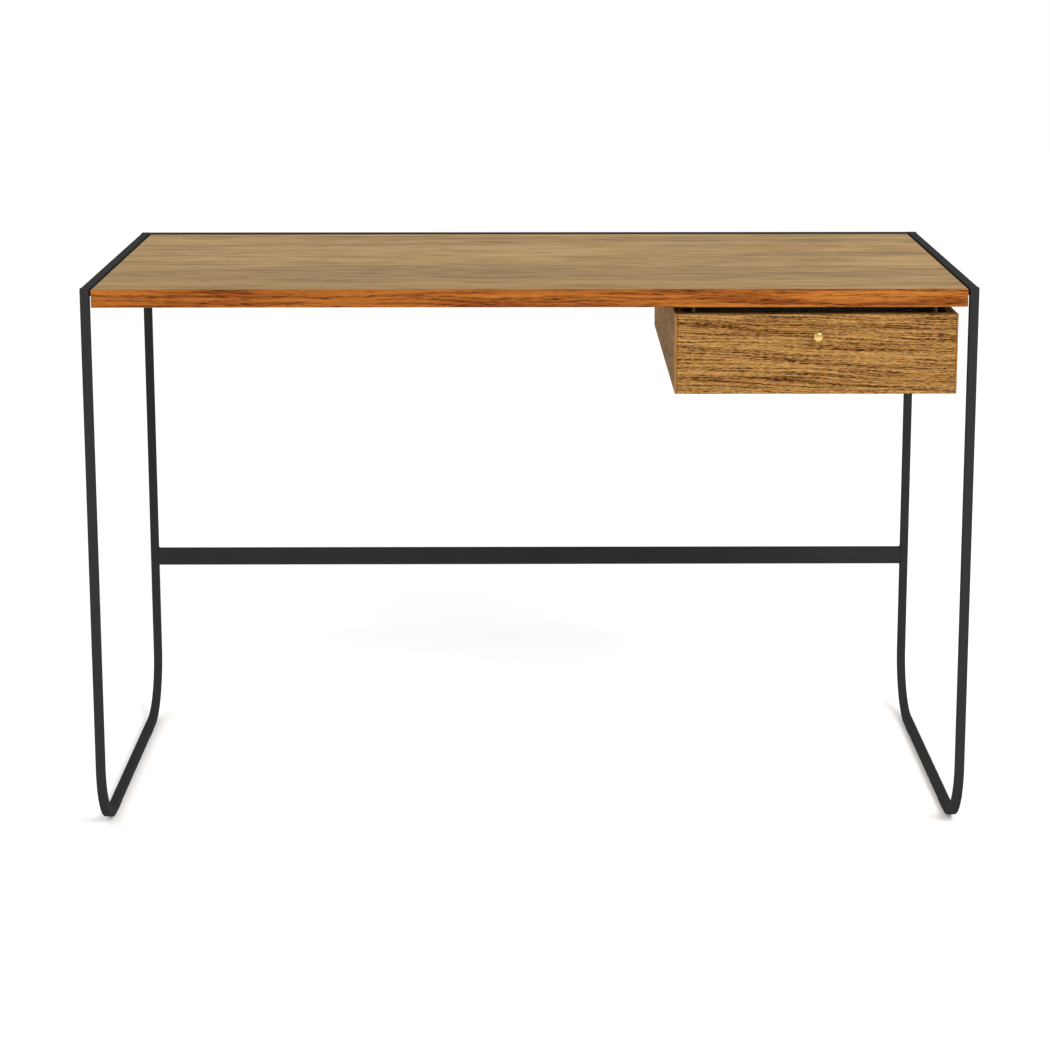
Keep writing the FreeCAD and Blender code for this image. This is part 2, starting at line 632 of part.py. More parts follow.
def make_drawer_back():
    """The back board, notched at both upper corners so that it passes the hanging slides."""
    body = piece_body("drawer_back", DRAWER_MIDDLE, BOX_BACK, DRAWER_LOW)
    foot, inside = GROOVE_UP + BOTTOM_THICK, BOX_HALF - NOTCH_WIDE
    outline = sketch_on(body, "XZ_Plane")
    right = [(BOX_HALF, foot), (BOX_HALF, NOTCH_LOW), (inside, NOTCH_LOW), (inside, DRAWER_TALL)]
    left = [(-u, v) for u, v in reversed(right)]
    draw_polygon(outline, right + left)
    pad(body, outline, SIDE_THICK)
    for sign in (-1, 1):
        end = sketch_on(body, "YZ_Plane", sign * BOX_HALF)
        draw_circles(end, [(-SIDE_THICK / 2, FRONT_DOWEL_LOW)], DOWEL_RADIUS + SCREW_PLAY)
        cut(body, end, DOWEL_LONG - DOWEL_IN_FACE + END_PLAY, along_normal=sign < 0)


def make_drawer_bottom():
    body = piece_body("drawer_bottom", DRAWER_MIDDLE, 0, DRAWER_LOW + GROOVE_UP)
    reach = GROOVE_DEEP - END_PLAY
    outline = sketch_on(body, "XY_Plane")
    half = BOX_HALF + reach
    draw_rectangle(outline, -half, BOX_FRONT - reach, half, BOX_BACK)
    pad(body, outline, BOTTOM_THICK)


def make_knob():
    """The turned brass knob: foot, neck and flared head about one axis, with a threaded bore."""
    body = piece_body("knob", DRAWER_MIDDLE, FRONT, DRAWER_LOW + KNOB_UP, FORWARD)
    profile = sketch_on(body, "XZ_Plane")
    foot = [(KNOB_FOOT_RADIUS, 0), (KNOB_FOOT_RADIUS, KNOB_FOOT_TALL)]
    neck = [(KNOB_NECK_RADIUS, KNOB_NECK_START), (KNOB_NECK_RADIUS, KNOB_NECK_END)]
    head = [(KNOB_HEAD_RADIUS, KNOB_HEAD_START), (KNOB_HEAD_RADIUS, KNOB_LONG)]
    draw_polygon(profile, [(0, 0), *foot, *neck, *head, (0, KNOB_LONG)])
    turned = body.newObject("PartDesign::Revolution", "Turned")
    turned.Profile = profile
    turned.ReferenceAxis = (profile, ["V_Axis"])
    turned.Angle = 360
    body.Tip = turned
    dress_edges(body, "Fillet", KNOB_ROUNDING, lambda point: near(point.z, KNOB_LONG))
    dress_edges(body, "Fillet", KNOB_ROUNDING, lambda point: near(point.z, KNOB_HEAD_START))
    bore = sketch_on(body, "XY_Plane")
    draw_circles(bore, [(0, 0)], WOOD_SCREW_RADIUS + SCREW_PLAY)
    cut(body, bore, KNOB_BORE_DEEP, along_normal=True)


def make_drawer():
    make_drawer_front()
    for side, sign in SIDES:
        make_drawer_side(side, sign)
    make_drawer_back()
    make_drawer_bottom()
    make_knob()


# ---- slides and their hangers -----------------------------------------------------------------


def facing_drawer(sign):
    """Slides grow from the hanger towards the drawer's wall: +X on the right, -X on the left."""
    return UP if sign > 0 else HALF_TURN


def facing_middle(sign):
    return HALF_TURN if sign > 0 else UP


def slide_body(label, sign):
    x = DRAWER_MIDDLE + sign * HANGER_FACE
    return piece_body(label, x, SLIDE_MIDDLE, SLIDE_LEVEL, facing_drawer(sign))


def roll_member(body, half_section):
    """A rolled member: the section's upper half is mirrored down and carried along the slide."""
    section = sketch_on(body, "XZ_Plane")
    lower = [(u, -v) for u, v in reversed(half_section)]
    draw_polygon(section, half_section + lower)
    pad(body, section, SLIDE_LONG, both_ways=True)


def make_outer_member(side, sign):
    """The fixed member: a channel with turned lips, screwed to the hanger."""
    body = slide_body(f"{side}_slide_outer", sign)
    inside = OUTER_HALF - SLIDE_SHEET
    lip = OUTER_REACH - SLIDE_SHEET
    outline = [(SLIDE_SHEET, inside), (lip, inside), (lip, inside - OUTER_LIP)]
    outline += [(OUTER_REACH, inside - OUTER_LIP), (OUTER_REACH, OUTER_HALF), (0, OUTER_HALF)]
    roll_member(body, outline)
    holes = sketch_on(body, "YZ_Plane")
    spots = [(k * HANGER_BOLT_STEP, 0) for k in THREE_ABOUT_MIDDLE]
    draw_circles(holes, spots, SLIDE_SCREW_RADIUS + SCREW_PLAY)
    cut(body, holes, SLIDE_SHEET, along_normal=True)


def make_middle_member(side, sign):
    """The middle member: a smaller channel that runs between the two rows of balls."""
    body = slide_body(f"{side}_slide_middle", sign)
    inside = MIDDLE_HALF - SLIDE_SHEET
    web = MIDDLE_START + SLIDE_SHEET
    outline = [(web, inside), (MIDDLE_REACH, inside)]
    outline += [(MIDDLE_REACH, MIDDLE_HALF), (MIDDLE_START, MIDDLE_HALF)]
    roll_member(body, outline)


def make_inner_member(side, sign):
    """The drawer's member: the smallest channel, turned round, screwed to the drawer's side."""
    body = slide_body(f"{side}_slide_inner", sign)
    inside = INNER_HALF - SLIDE_SHEET
    web = SLIDE_THICK - SLIDE_SHEET
    outline = [(web, inside), (INNER_START, inside)]
    outline += [(INNER_START, INNER_HALF), (SLIDE_THICK, INNER_HALF)]
    roll_member(body, outline)
    holes = sketch_on(body, "YZ_Plane", web)
    spots = [(k * DRAWER_SCREW_STEP, 0) for k in THREE_ABOUT_MIDDLE]
    draw_circles(holes, spots, SLIDE_SCREW_RADIUS + SCREW_PLAY)
    cut(body, holes, SLIDE_SHEET, along_normal=True)


def ball_row(out, up, along):
    """One strip of the cage with its balls, in the slide's own frame."""
    length = BALL_PITCH * BALLS_IN_ROW
    strip = DESK.addObject("Part::Box", "CageStrip")
    bind(strip, "Length", CAGE_WIDE)
    bind(strip, "Width", length)
    bind(strip, "Height", CAGE_THICK)
    place(strip, out - CAGE_WIDE / 2, along - length / 2, up - CAGE_THICK / 2)
    parts = [strip]
    for i in range(BALLS_IN_ROW):
        ball = DESK.addObject("Part::Sphere", "Ball")
        bind(ball, "Radius", BALL_RADIUS)
        place(ball, out, along + BALL_PITCH * (i + 0.5) - length / 2, up)
        parts.append(ball)
    row = DESK.addObject("Part::MultiFuse", "BallRow")
    row.Shapes = parts
    return row


def make_ball_cages(side, sign):
    """Balls above and below the middle member: outer rows at its rear, inner rows at its front."""
    outer_up = MIDDLE_HALF + BALL_RADIUS
    inner_up = MIDDLE_HALF - SLIDE_SHEET - BALL_RADIUS
    rearward = sign * CAGE_OFFSET
    rows = []
    for level in (-1, 1):
        rows.append(ball_row(OUTER_BALL_OUT, level * outer_up, rearward))
        rows.append(ball_row(INNER_BALL_OUT, level * inner_up, -rearward))
    cages = DESK.addObject("Part::Compound", f"{side}_ball_cages")
    cages.Links = rows
    add_group(cages, f"{side}_ball_cages")
    x = DRAWER_MIDDLE + sign * HANGER_FACE
    place(cages, x, SLIDE_MIDDLE, SLIDE_LEVEL, facing_drawer(sign))


def make_hanger(side, sign):
    """The steel angle that hangs a slide: upright plate inside the drawer, flange under the top."""
    x = DRAWER_MIDDLE + sign * HANGER_FACE
    body = piece_body(f"{side}_hanger_rail", x, SLIDE_MIDDLE, HANGER_LOW, facing_middle(sign))
    under = HANGER_TALL - HANGER_SHEET
    section = sketch_on(body, "XZ_Plane")
    flange = [(HANGER_FLANGE, under), (HANGER_FLANGE, HANGER_TALL), (0, HANGER_TALL)]
    draw_polygon(section, [(0, 0), (HANGER_SHEET, 0), (HANGER_SHEET, under), *flange])
    pad(body, section, SLIDE_LONG + HANGER_EXTRA, both_ways=True)
    flange_holes = sketch_on(body, "XY_Plane", HANGER_TALL)
    spots = [(HANGER_SCREW_IN, k * HANGER_SCREW_STEP) for k in FOUR_ABOUT_MIDDLE]
    draw_circles(flange_holes, spots, WOOD_SCREW_RADIUS + SCREW_PLAY)
    cut(body, flange_holes, HANGER_SHEET)
    plate_holes = sketch_on(body, "YZ_Plane")
    spots = [(k * HANGER_BOLT_STEP, OUTER_HALF) for k in THREE_ABOUT_MIDDLE]
    draw_circles(plate_holes, spots, SLIDE_SCREW_RADIUS + SCREW_PLAY)
    cut(body, plate_holes, HANGER_SHEET, along_normal=True)


def make_hanger_tie():
    """The rail that ties the two hangers together under the top, a hand's width behind the front."""
    length = 2 * (HANGER_FACE - HANGER_SHEET)
    y = FRONT + TIE_BACK + TIE_DEEP / 2
    z = UNDERSIDE - HANGER_SHEET - TIE_TALL / 2
    long_bar("hanger_tie_rail", "YZ_Plane", TIE_DEEP, TIE_TALL, length, DRAWER_MIDDLE, y, z)


def make_slides():
    for side, sign in SIDES:
        make_hanger(side, sign)
        make_outer_member(side, sign)
        make_middle_member(side, sign)
        make_inner_member(side, sign)
        make_ball_cages(side, sign)
    make_hanger_tie()


# ---- fasteners --------------------------------------------------------------------------------


def add_group(thing, label):
    """Registers a group of separate solids as one sub-part."""
    thing.Label = label
    PIECES[label] = thing


def make_screw(where, turn, shank_radius, shank_long, head):
    """A screw along its own +Z: the head's underside is at the origin."""
    seat_radius, head_radius, head_tall = head
    shank = DESK.addObject("Part::Cylinder", "Shank")
    bind(shank, "Radius", shank_radius)
    bind(shank, "Height", shank_long)
    cone = DESK.addObject("Part::Cone", "Head")
    bind(cone, "Radius1", seat_radius)
    bind(cone, "Radius2", head_radius)
    bind(cone, "Height", head_tall)
    place(cone, 0, 0, -head_tall)
    screw = DESK.addObject("Part::MultiFuse", "Screw")
    screw.Shapes = [shank, cone]
    place(screw, *where, turn)
    return screw


def make_group(label, things):
    group = DESK.addObject("Part::Compound", label)
    group.Links = things
    add_group(group, label)


def screws_into_top(label, spots, head_under):
    sizes = (WOOD_SCREW_RADIUS, WOOD_SCREW_LONG, PAN_HEAD)
    screws = [make_screw((x, y, head_under), UP, *sizes) for x, y in spots]
    make_group(label, screws)


def make_slide_screws():
    """Short screws: three join each fixed member to its hanger, three hold each drawer member."""
    to_hanger, to_drawer = [], []
    for _, sign in SIDES:
        inward, outward = (LEFTWARD, RIGHTWARD) if sign > 0 else (RIGHTWARD, LEFTWARD)
        face = DRAWER_MIDDLE + sign * (HANGER_FACE + SLIDE_SHEET)
        wall = DRAWER_MIDDLE + sign * (BOX_HALF - SLIDE_SHEET)
        for k in THREE_ABOUT_MIDDLE:
            where = (face, SLIDE_MIDDLE + k * HANGER_BOLT_STEP, SLIDE_LEVEL)
            sizes = (SLIDE_SCREW_RADIUS, HANGER_BOLT_LONG, FLAT_HEAD)
            to_hanger.append(make_screw(where, inward, *sizes))
        for y in drawer_screw_rows():
            sizes = (SLIDE_SCREW_RADIUS, DRAWER_SCREW_LONG, FLAT_HEAD)
            to_drawer.append(make_screw((wall, y, SLIDE_LEVEL), outward, *sizes))
    make_group("slide_to_hanger_screws", to_hanger)
    make_group("slide_to_drawer_screws", to_drawer)


def make_dowel(where, turn):
    dowel = DESK.addObject("Part::Cylinder", "Dowel")
    bind(dowel, "Radius", DOWEL_RADIUS)
    bind(dowel, "Height", DOWEL_LONG)
    place(dowel, *where, turn)
    return dowel


def make_dowels():
    """Four dowels join the sides to the front board and two join them to the back board."""
    dowels = []
    for _, sign in SIDES:
        x = DRAWER_MIDDLE + sign * (BOX_HALF + SIDE_THICK / 2)
        y = BOX_FRONT + DOWEL_LONG - DOWEL_IN_FACE
        for up in front_dowel_levels():
            dowels.append(make_dowel((x, y, DRAWER_LOW + up), FORWARD))
        x = DRAWER_MIDDLE + sign * (BOX_HALF + DOWEL_IN_FACE)
        inward = LEFTWARD if sign > 0 else RIGHTWARD
        where = (x, BOX_BACK - SIDE_THICK / 2, DRAWER_LOW + FRONT_DOWEL_LOW)
        dowels.append(make_dowel(where, inward))
    make_group("drawer_dowels", dowels)


def make_fasteners():
    under_tab = UNDERSIDE - TAB_SHEET
    screws_into_top("left_tab_screws", side_tab_screws(-1), under_tab)
    screws_into_top("right_tab_screws", side_tab_screws(1), under_tab)
    screws_into_top("rear_tab_screws", rear_tab_screws(), under_tab)
    under_flange = UNDERSIDE - HANGER_SHEET
    screws_into_top("hanger_screws", hanger_screws(-1) + hanger_screws(1), under_flange)
    make_slide_screws()
    make_dowels()
    where = (DRAWER_MIDDLE, BOX_FRONT, DRAWER_LOW + KNOB_UP)
    sizes = (WOOD_SCREW_RADIUS, KNOB_SCREW_LONG, PAN_HEAD)
    make_group("knob_screw", [make_screw(where, FORWARD, *sizes)])


# ---- checks and files -------------------------------------------------------------------------


def check_document():
    """Stops if any object failed or any sub-part isn't whole, because recompute doesn't say so."""
    for thing in DESK.Objects:
        if "Invalid" in thing.State or "Error" in thing.State:
            raise RuntimeError(f"{thing.Label} failed: {thing.State}")
    for label, piece in PIECES.items():
        if piece.Shape.isNull() or not piece.Shape.isValid() or not piece.Shape.Solids:
            raise RuntimeError(f"{label} is not a valid solid")


def write_parts():
    os.makedirs("parts", exist_ok=True)
    for label, piece in PIECES.items():
        piece.Shape.exportStep(f"parts/{label}.step")
        print(f"{label}: {len(piece.Shape.Solids)} solid(s), {piece.Shape.Volume / 1000:.1f} cm3")


make_frame()
make_tabletop()
make_drawer()
make_slides()
make_fasteners()
DESK.recompute()
check_document()
write_parts()
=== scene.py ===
# %% [markdown]
# # A writing desk with one drawer
# The desk is a bent steel frame, a wooden top, and one drawer that hangs from the top on ball
# slides. Its exact shapes come from CAD as a fixed frame of named nodes. Blender's work is the
# finishes, the small pieces that a drawing leaves out, and the studio around it.
# Lengths are in metres, +Z is up, and the front of the desk faces -Y.

# %% Load the frame
import math

import bpy
import numpy as np
from mathutils import Euler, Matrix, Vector


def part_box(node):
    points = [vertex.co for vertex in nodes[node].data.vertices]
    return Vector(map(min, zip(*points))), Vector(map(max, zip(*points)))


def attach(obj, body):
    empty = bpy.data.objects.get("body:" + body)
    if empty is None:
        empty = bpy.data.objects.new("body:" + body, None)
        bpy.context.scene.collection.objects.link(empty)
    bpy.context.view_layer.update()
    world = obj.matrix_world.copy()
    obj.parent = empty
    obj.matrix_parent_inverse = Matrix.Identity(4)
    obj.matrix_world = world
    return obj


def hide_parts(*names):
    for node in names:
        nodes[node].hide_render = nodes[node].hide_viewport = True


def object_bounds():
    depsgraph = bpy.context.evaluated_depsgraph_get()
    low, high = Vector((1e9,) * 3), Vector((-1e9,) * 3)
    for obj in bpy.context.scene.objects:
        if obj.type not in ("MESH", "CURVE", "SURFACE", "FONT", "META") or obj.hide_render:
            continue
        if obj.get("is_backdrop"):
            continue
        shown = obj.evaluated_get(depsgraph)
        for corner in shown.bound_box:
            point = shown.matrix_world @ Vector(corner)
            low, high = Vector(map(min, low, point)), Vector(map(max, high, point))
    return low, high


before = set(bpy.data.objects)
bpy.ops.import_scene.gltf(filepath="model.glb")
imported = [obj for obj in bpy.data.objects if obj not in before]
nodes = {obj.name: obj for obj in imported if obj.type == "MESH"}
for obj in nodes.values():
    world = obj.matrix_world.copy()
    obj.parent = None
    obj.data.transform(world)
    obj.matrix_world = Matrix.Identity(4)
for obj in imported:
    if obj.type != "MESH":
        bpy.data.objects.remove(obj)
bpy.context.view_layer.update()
MM = 0.001

# %% [markdown]
# ## A short way to write shader graphs
# A finish is a graph of nodes, and wiring it by hand takes many lines. Two small classes do it
# here. A Wire is one output of a node, and arithmetic on it adds Math nodes. A Finish is a
# material. Its node method makes any node: settings first, then its sockets' values or wires.


# %% Wire
class Wire:
    """One output of a node. Sums and products of wires and numbers become Math nodes."""

    def __init__(self, finish, socket):
        self.finish = finish
        self.socket = socket

    def outputs(self):
        """All the outputs of the same node, in order."""
        return [Wire(self.finish, socket) for socket in self.socket.node.outputs]

    def __add__(self, other):
        return self.finish.math("ADD", self, other)

    def __radd__(self, other):
        return self.finish.math("ADD", other, self)

    def __sub__(self, other):
        return self.finish.math("SUBTRACT", self, other)

    def __rsub__(self, other):
        return self.finish.math("SUBTRACT", other, self)

    def __mul__(self, other):
        return self.finish.math("MULTIPLY", self, other)

    def __rmul__(self, other):
        return self.finish.math("MULTIPLY", other, self)

    def __pow__(self, other):
        return self.finish.math("POWER", self, other)

    def above(self, low, high):
        """0 below low, 1 above high, and a smooth rise between them."""
        settings = {"interpolation_type": "SMOOTHSTEP"}
        return self.finish.node("ShaderNodeMapRange", settings, [self, low, high, 0.0, 1.0])


print("a Wire has", [name for name in vars(Wire) if not name.endswith("_")], "and + - * **")

# %% Finish
BUMP_STRENGTH = 0.5


class Finish:
    """One material and its nodes."""

    def __init__(self, name):
        self.material = bpy.data.materials.new(name)
        self.material.use_nodes = True
        self.tree = self.material.node_tree
        self.tree.nodes.clear()

    def node(self, kind, settings=None, sockets=(), output=0):
        """Adds a node: its settings are set first, then each socket gets its value or wire."""
        made = self.tree.nodes.new(kind)
        for key, value in (settings or {}).items():
            setattr(made, key, value)
        pairs = sockets.items() if isinstance(sockets, dict) else enumerate(sockets)
        for key, value in pairs:
            if isinstance(value, Wire):
                self.tree.links.new(value.socket, made.inputs[key])
            else:
                made.inputs[key].default_value = value
        return Wire(self, made.outputs[output]) if len(made.outputs) else None

    def math(self, operation, *values):
        """One Math node on wires and numbers."""
        return self.node("ShaderNodeMath", {"operation": operation}, values)

    def place(self):
        """Where a point is on the desk, in metres."""
        return self.node("ShaderNodeTexCoord", output="Object")

    def vectors(self, operation, one, other):
        """One Vector Math node."""
        return self.node("ShaderNodeVectorMath", {"operation": operation}, [one, other])

    def noise(self, vector, size, detail=2.0, harsh=0.5):
        """Smooth random values near 0.5. One bump is size long, or three sizes along x, y, z."""
        sizes = np.broadcast_to(np.asarray(size, float), 3)
        scaled = self.vectors("MULTIPLY", vector, [float(1 / length) for length in sizes])
        sockets = {"Vector": scaled, "Scale": 1.0, "Detail": detail, "Roughness": harsh}
        return self.node("ShaderNodeTexNoise", {"noise_dimensions": "3D"}, sockets)

    def mixed(self, share, one, other):
        """Colour one where share is 0, and the other where it is 1."""
        settings = {"data_type": "RGBA", "clamp_factor": True}
        return self.node("ShaderNodeMix", settings, {0: share, 6: one, 7: other}, output=2)

    def bump(self, height, depth):
        """Tilts the light as if height, from 0 to 1, were a relief that deep."""
        sockets = {"Height": height, "Distance": depth, "Strength": BUMP_STRENGTH}
        return self.node("ShaderNodeBump", {}, sockets)

    def done(self, **sockets):
        """Ends the graph in a Principled shader. A _ in a socket's name stands for a space."""
        named = {key.replace("_", " "): value for key, value in sockets.items()}
        shader = self.node("ShaderNodeBsdfPrincipled", {}, named)
        self.node("ShaderNodeOutputMaterial", {}, {"Surface": shader})
        print("finish", self.material.name, "has", len(self.tree.nodes), "nodes")
        return self.material


print("a Finish can make", [name for name in vars(Finish) if not name.startswith("_")])

# %% [markdown]
# ## Colours
# A maker names a colour as it looks on a screen, from 0 to 255. A screen's numbers follow a curve
# that gives dark tones more room, but Blender adds and multiplies light itself. Its colour picker
# could turn one into the other, and here a short function does, so that a finish can be read.

# %% Colours
KNEE = 0.04
DARK_SLOPE = 12.92
CURVE_STEP = 0.055
CURVE_POWER = 2.4


def rgb(red, green, blue):
    """A screen colour as amounts of light. Below the knee the curve is a straight line. Above it,
    light is ((screen + step) / (1 + step)) to the curve's power."""
    screen = np.array([red, green, blue]) / 255
    curved = ((screen + CURVE_STEP) / (1 + CURVE_STEP)) ** CURVE_POWER
    linear = np.where(screen > KNEE, curved, screen / DARK_SLOPE)
    return (*linear.tolist(), 1.0)


print("a screen grey of 128 reflects", round(rgb(128, 128, 128)[0], 3), "of the light")

# %% [markdown]
# ## Oak
# A tree is a bundle of long thin tubes, laid down in a ring each year. Sawn along the trunk it
# shows the rings as lines, and in oak the wide tubes of spring wood are cut open as short dark
# pores that follow those lines. A flat picture of wood would only suit one face, so the finish
# is worked out in the solid: the distance from a heart line, uneven rings in that distance, and
# pores that are noise stretched along the grain. Each face then shows what a cut there would.


# %% Streaks along the grain
MOST_OF_NOISE = (0.3, 0.7)


def grain_axis(grain):
    """0, 1 or 2 for x, y or z."""
    return "xyz".index(grain)


def streaks(finish, place, axis, length, width, detail=2.0, harsh=0.5):
    """Noise that is long along the grain and narrow across it."""
    sizes = [width] * 3
    sizes[axis] = length
    return finish.noise(place, sizes, detail, harsh)


print("grain along y is axis", grain_axis("y"))

# %% Year rings
SLOW_WANDER = (150 * MM, 22 * MM)
QUICK_WANDER = (40 * MM, 6 * MM)
SLOW_SHARE = 6
RING_SHARE = 0.55
SPRING_WOOD = (0.40, 0.62)


def spring_wood(finish, parts, moved, axis, heart, ring, waver, slope, run, seed):
    """From 0 to 1, how much a point belongs to spring wood. The radius is the distance from the
    heart line, plus slow and quick noise. The rings are noise read at radius / ring width, which
    also changes slowly along the grain, once in each run."""
    sides = [k for k in range(3) if k != axis]
    over = parts[sides[0]] - heart[0]
    up = parts[sides[1]] - heart[1] + parts[axis] * slope
    slow = streaks(finish, moved, axis, *SLOW_WANDER) - 0.5
    quick = streaks(finish, moved, axis, *QUICK_WANDER) - 0.5
    radius = (over * over + up * up) ** 0.5 + slow * (SLOW_SHARE * waver) + quick * waver
    year = finish.node("ShaderNodeCombineXYZ", {}, [radius, parts[axis], seed])
    return finish.noise(year, (RING_SHARE * ring, run, 1.0), detail=1.0).above(*SPRING_WOOD)


print("a ring of 3 mm is drawn as noise of", round(RING_SHARE * 3, 2), "mm")

# %% Solid strips at a board's ends, painted paler as a highlight on their bevels
STRIP_AND_HIGHLIGHT_EDGE = (2.2 * MM, 2.6 * MM)
GLUE_EDGE = (2.8 * MM, 3.6 * MM)
STRIP_AND_HIGHLIGHT_COVER = 0.9
GLUE_COVER = 0.75
UPRIGHT_GRAIN = (0.9 * MM, 0.9 * MM, 16 * MM)
# Both strip colours are paler than the front's wood. The upright grain is real solid wood, and the
# paleness is a painted highlight on the bevels.
STRIP_WOOD_AND_HIGHLIGHT_PALE = rgb(176, 124, 66)
STRIP_WOOD_AND_HIGHLIGHT_DARK = rgb(128, 80, 36)
GLUE = rgb(40, 20, 6)


def end_strips_with_bevel_highlight(finish, colour, along, moved, ends):
    """Upright grain within a strip's width of either end, in pale colours that paint a highlight on
    the bevel there, and a thin dark line of glue.
    """
    near = finish.math("MINIMUM", along - ends[0], ends[1] - along)
    strip_and_highlight = 1.0 - near.above(*STRIP_AND_HIGHLIGHT_EDGE)
    glue = (1.0 - strip_and_highlight) * (1.0 - near.above(*GLUE_EDGE))
    upright = finish.noise(moved, UPRIGHT_GRAIN, detail=3.0, harsh=0.6)
    solid_and_highlight = finish.mixed(upright.above(*MOST_OF_NOISE), STRIP_WOOD_AND_HIGHLIGHT_PALE, STRIP_WOOD_AND_HIGHLIGHT_DARK)
    # The pale strip colours paint a highlight on each bevel, over its real upright grain.
    colour = finish.mixed(strip_and_highlight * STRIP_AND_HIGHLIGHT_COVER, colour, solid_and_highlight)
    return finish.mixed(glue * GLUE_COVER, colour, GLUE)


print("an end strip is", round(STRIP_AND_HIGHLIGHT_EDGE[1] / MM, 1), "mm wide")

# %% Oak
BROAD_SPREAD = (0.32, 0.68)
PORE_RELIEF = 0.15 * MM
RING_RELIEF = 0.15
PORE_ROUGHNESS = 0.2


def oak(name, grain, heart, ring, light, dark, pore, pore_size, ring_depth, seed, pore_depth=0.9,
        figure=(420 * MM, 26 * MM, 0.4), fibre=(11 * MM, 0.8 * MM, 0.7), waver=3 * MM, slope=0.0,
        run=160 * MM, scatter=0.2, peaks=(0.46, 0.62), rough=0.5, shine=0.1, ends=None):
    """Pores are noise stretched along the grain and cut to its peaks, and scatter is the share of
    them that lies outside the spring wood. The shade between light and dark wood is a sum of the
    broad figure, the rings and the fibres. Pores, figure and fibres have a size along the grain
    and one across it, and the last two also have a depth."""
    finish = Finish(name)
    axis = grain_axis(grain)
    place = finish.place()
    moved = finish.vectors("ADD", place, (seed, 2 * seed, 3 * seed))
    parts = finish.node("ShaderNodeSeparateXYZ", {}, [place]).outputs()
    spring = spring_wood(finish, parts, moved, axis, heart, ring, waver, slope, run, seed)
    holes = streaks(finish, moved, axis, *pore_size, harsh=0.6).above(*peaks)
    pores = holes * (spring * (1 - scatter) + scatter)
    fibres = streaks(finish, moved, axis, *fibre[:2], detail=3.0, harsh=0.6)
    broad = streaks(finish, moved, axis, *figure[:2]).above(*BROAD_SPREAD)
    shade = broad * figure[2] + spring * ring_depth + (fibres - 0.5) * fibre[2]
    colour = finish.mixed(shade, light, dark)
    colour = finish.mixed(pores * pore_depth, colour, pore)
    if ends:
        colour = end_strips_with_bevel_highlight(finish, colour, parts[axis], moved, ends)
    normal = finish.bump(1.0 - pores - spring * RING_RELIEF, PORE_RELIEF)
    return finish.done(Base_Color=colour, Roughness=rough + pores * PORE_ROUGHNESS,
                       Normal=normal, Specular_IOR_Level=shine)


OAK_TOP = oak(
    "oak_top", "x", heart=(0.10, 0.25), ring=5.2 * MM,
    light=rgb(160, 126, 70), dark=rgb(115, 87, 40), pore=rgb(74, 51, 22),
    pore_size=(70 * MM, 1.4 * MM), ring_depth=0.3, pore_depth=0.45,
    figure=(700 * MM, 46 * MM, 0.6), fibre=(11 * MM, 0.8 * MM, 0.4), seed=3.1)

# %% [markdown]
# ## Four more oak boards
# The same function serves four more boards, because only its numbers differ from board to board,
# and five separate graphs would be hard to keep alike. The top's veneer is broad and calm. Its
# front edge is a solid strip with long streaks and a warmer stain. The drawer's front is cut on
# the quarter, so its lines are fine and level, and its ends are solid strips, painted paler as a
# highlight on their bevels. The drawer's walls are plainer and more matt.

# %% The front edge and the drawer's front
FRONT_LOW, FRONT_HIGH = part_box("drawer_front")
OAK_EDGE = oak(
    "oak_edge", "x", heart=(0.16, 0.45), ring=3.6 * MM,
    light=rgb(162, 98, 38), dark=rgb(112, 52, 12), pore=rgb(46, 13, 2),
    pore_size=(20 * MM, 0.8 * MM), ring_depth=0.5,
    figure=(300 * MM, 8 * MM, 0.4), fibre=(12 * MM, 0.7 * MM, 1.1),
    waver=1.0 * MM, scatter=0.35, shine=0.05, seed=7.7)
# The front's end strips are painted paler, as a highlight on their bevels.
OAK_FRONT = oak(
    "oak_front", "x", heart=(-0.05, 0.05), ring=1.9 * MM,
    light=rgb(167, 125, 69), dark=rgb(98, 48, 4), pore=rgb(22, 4, 0),
    pore_size=(6 * MM, 0.9 * MM), ring_depth=0.62, pore_depth=1.0,
    figure=(300 * MM, 14 * MM, 0.22), fibre=(6 * MM, 0.6 * MM, 1.2),
    waver=1.8 * MM, slope=0.04, run=140 * MM, scatter=0.42, peaks=(0.42, 0.58),
    shine=0.05, seed=1.3, ends=(FRONT_LOW.x, FRONT_HIGH.x))

# %% The drawer's sides and back
WALL = {
    "ring": 3.0 * MM, "light": rgb(146, 110, 60), "dark": rgb(114, 82, 36), "pore": rgb(58, 35, 13),
    "pore_size": (9 * MM, 0.95 * MM), "ring_depth": 0.4, "pore_depth": 0.7, "run": 90 * MM,
    "scatter": 0.35, "shine": 0.04, "rough": 0.65,
}
OAK_SIDE = oak("oak_side", "y", heart=(0.6, 0.2), seed=5.9, **WALL)
OAK_BACK = oak("oak_back", "x", heart=(0.9, 0.2), seed=9.4, **WALL)

# %% [markdown]
# ## Birch plywood and beech
# The drawer's bottom is thin plywood with a pale birch face, and the dowels are beech. Both are
# close-grained, with a faint figure and no open pores. The oak function could draw them, but most
# of its nodes would do nothing, so two stretched noises are enough.


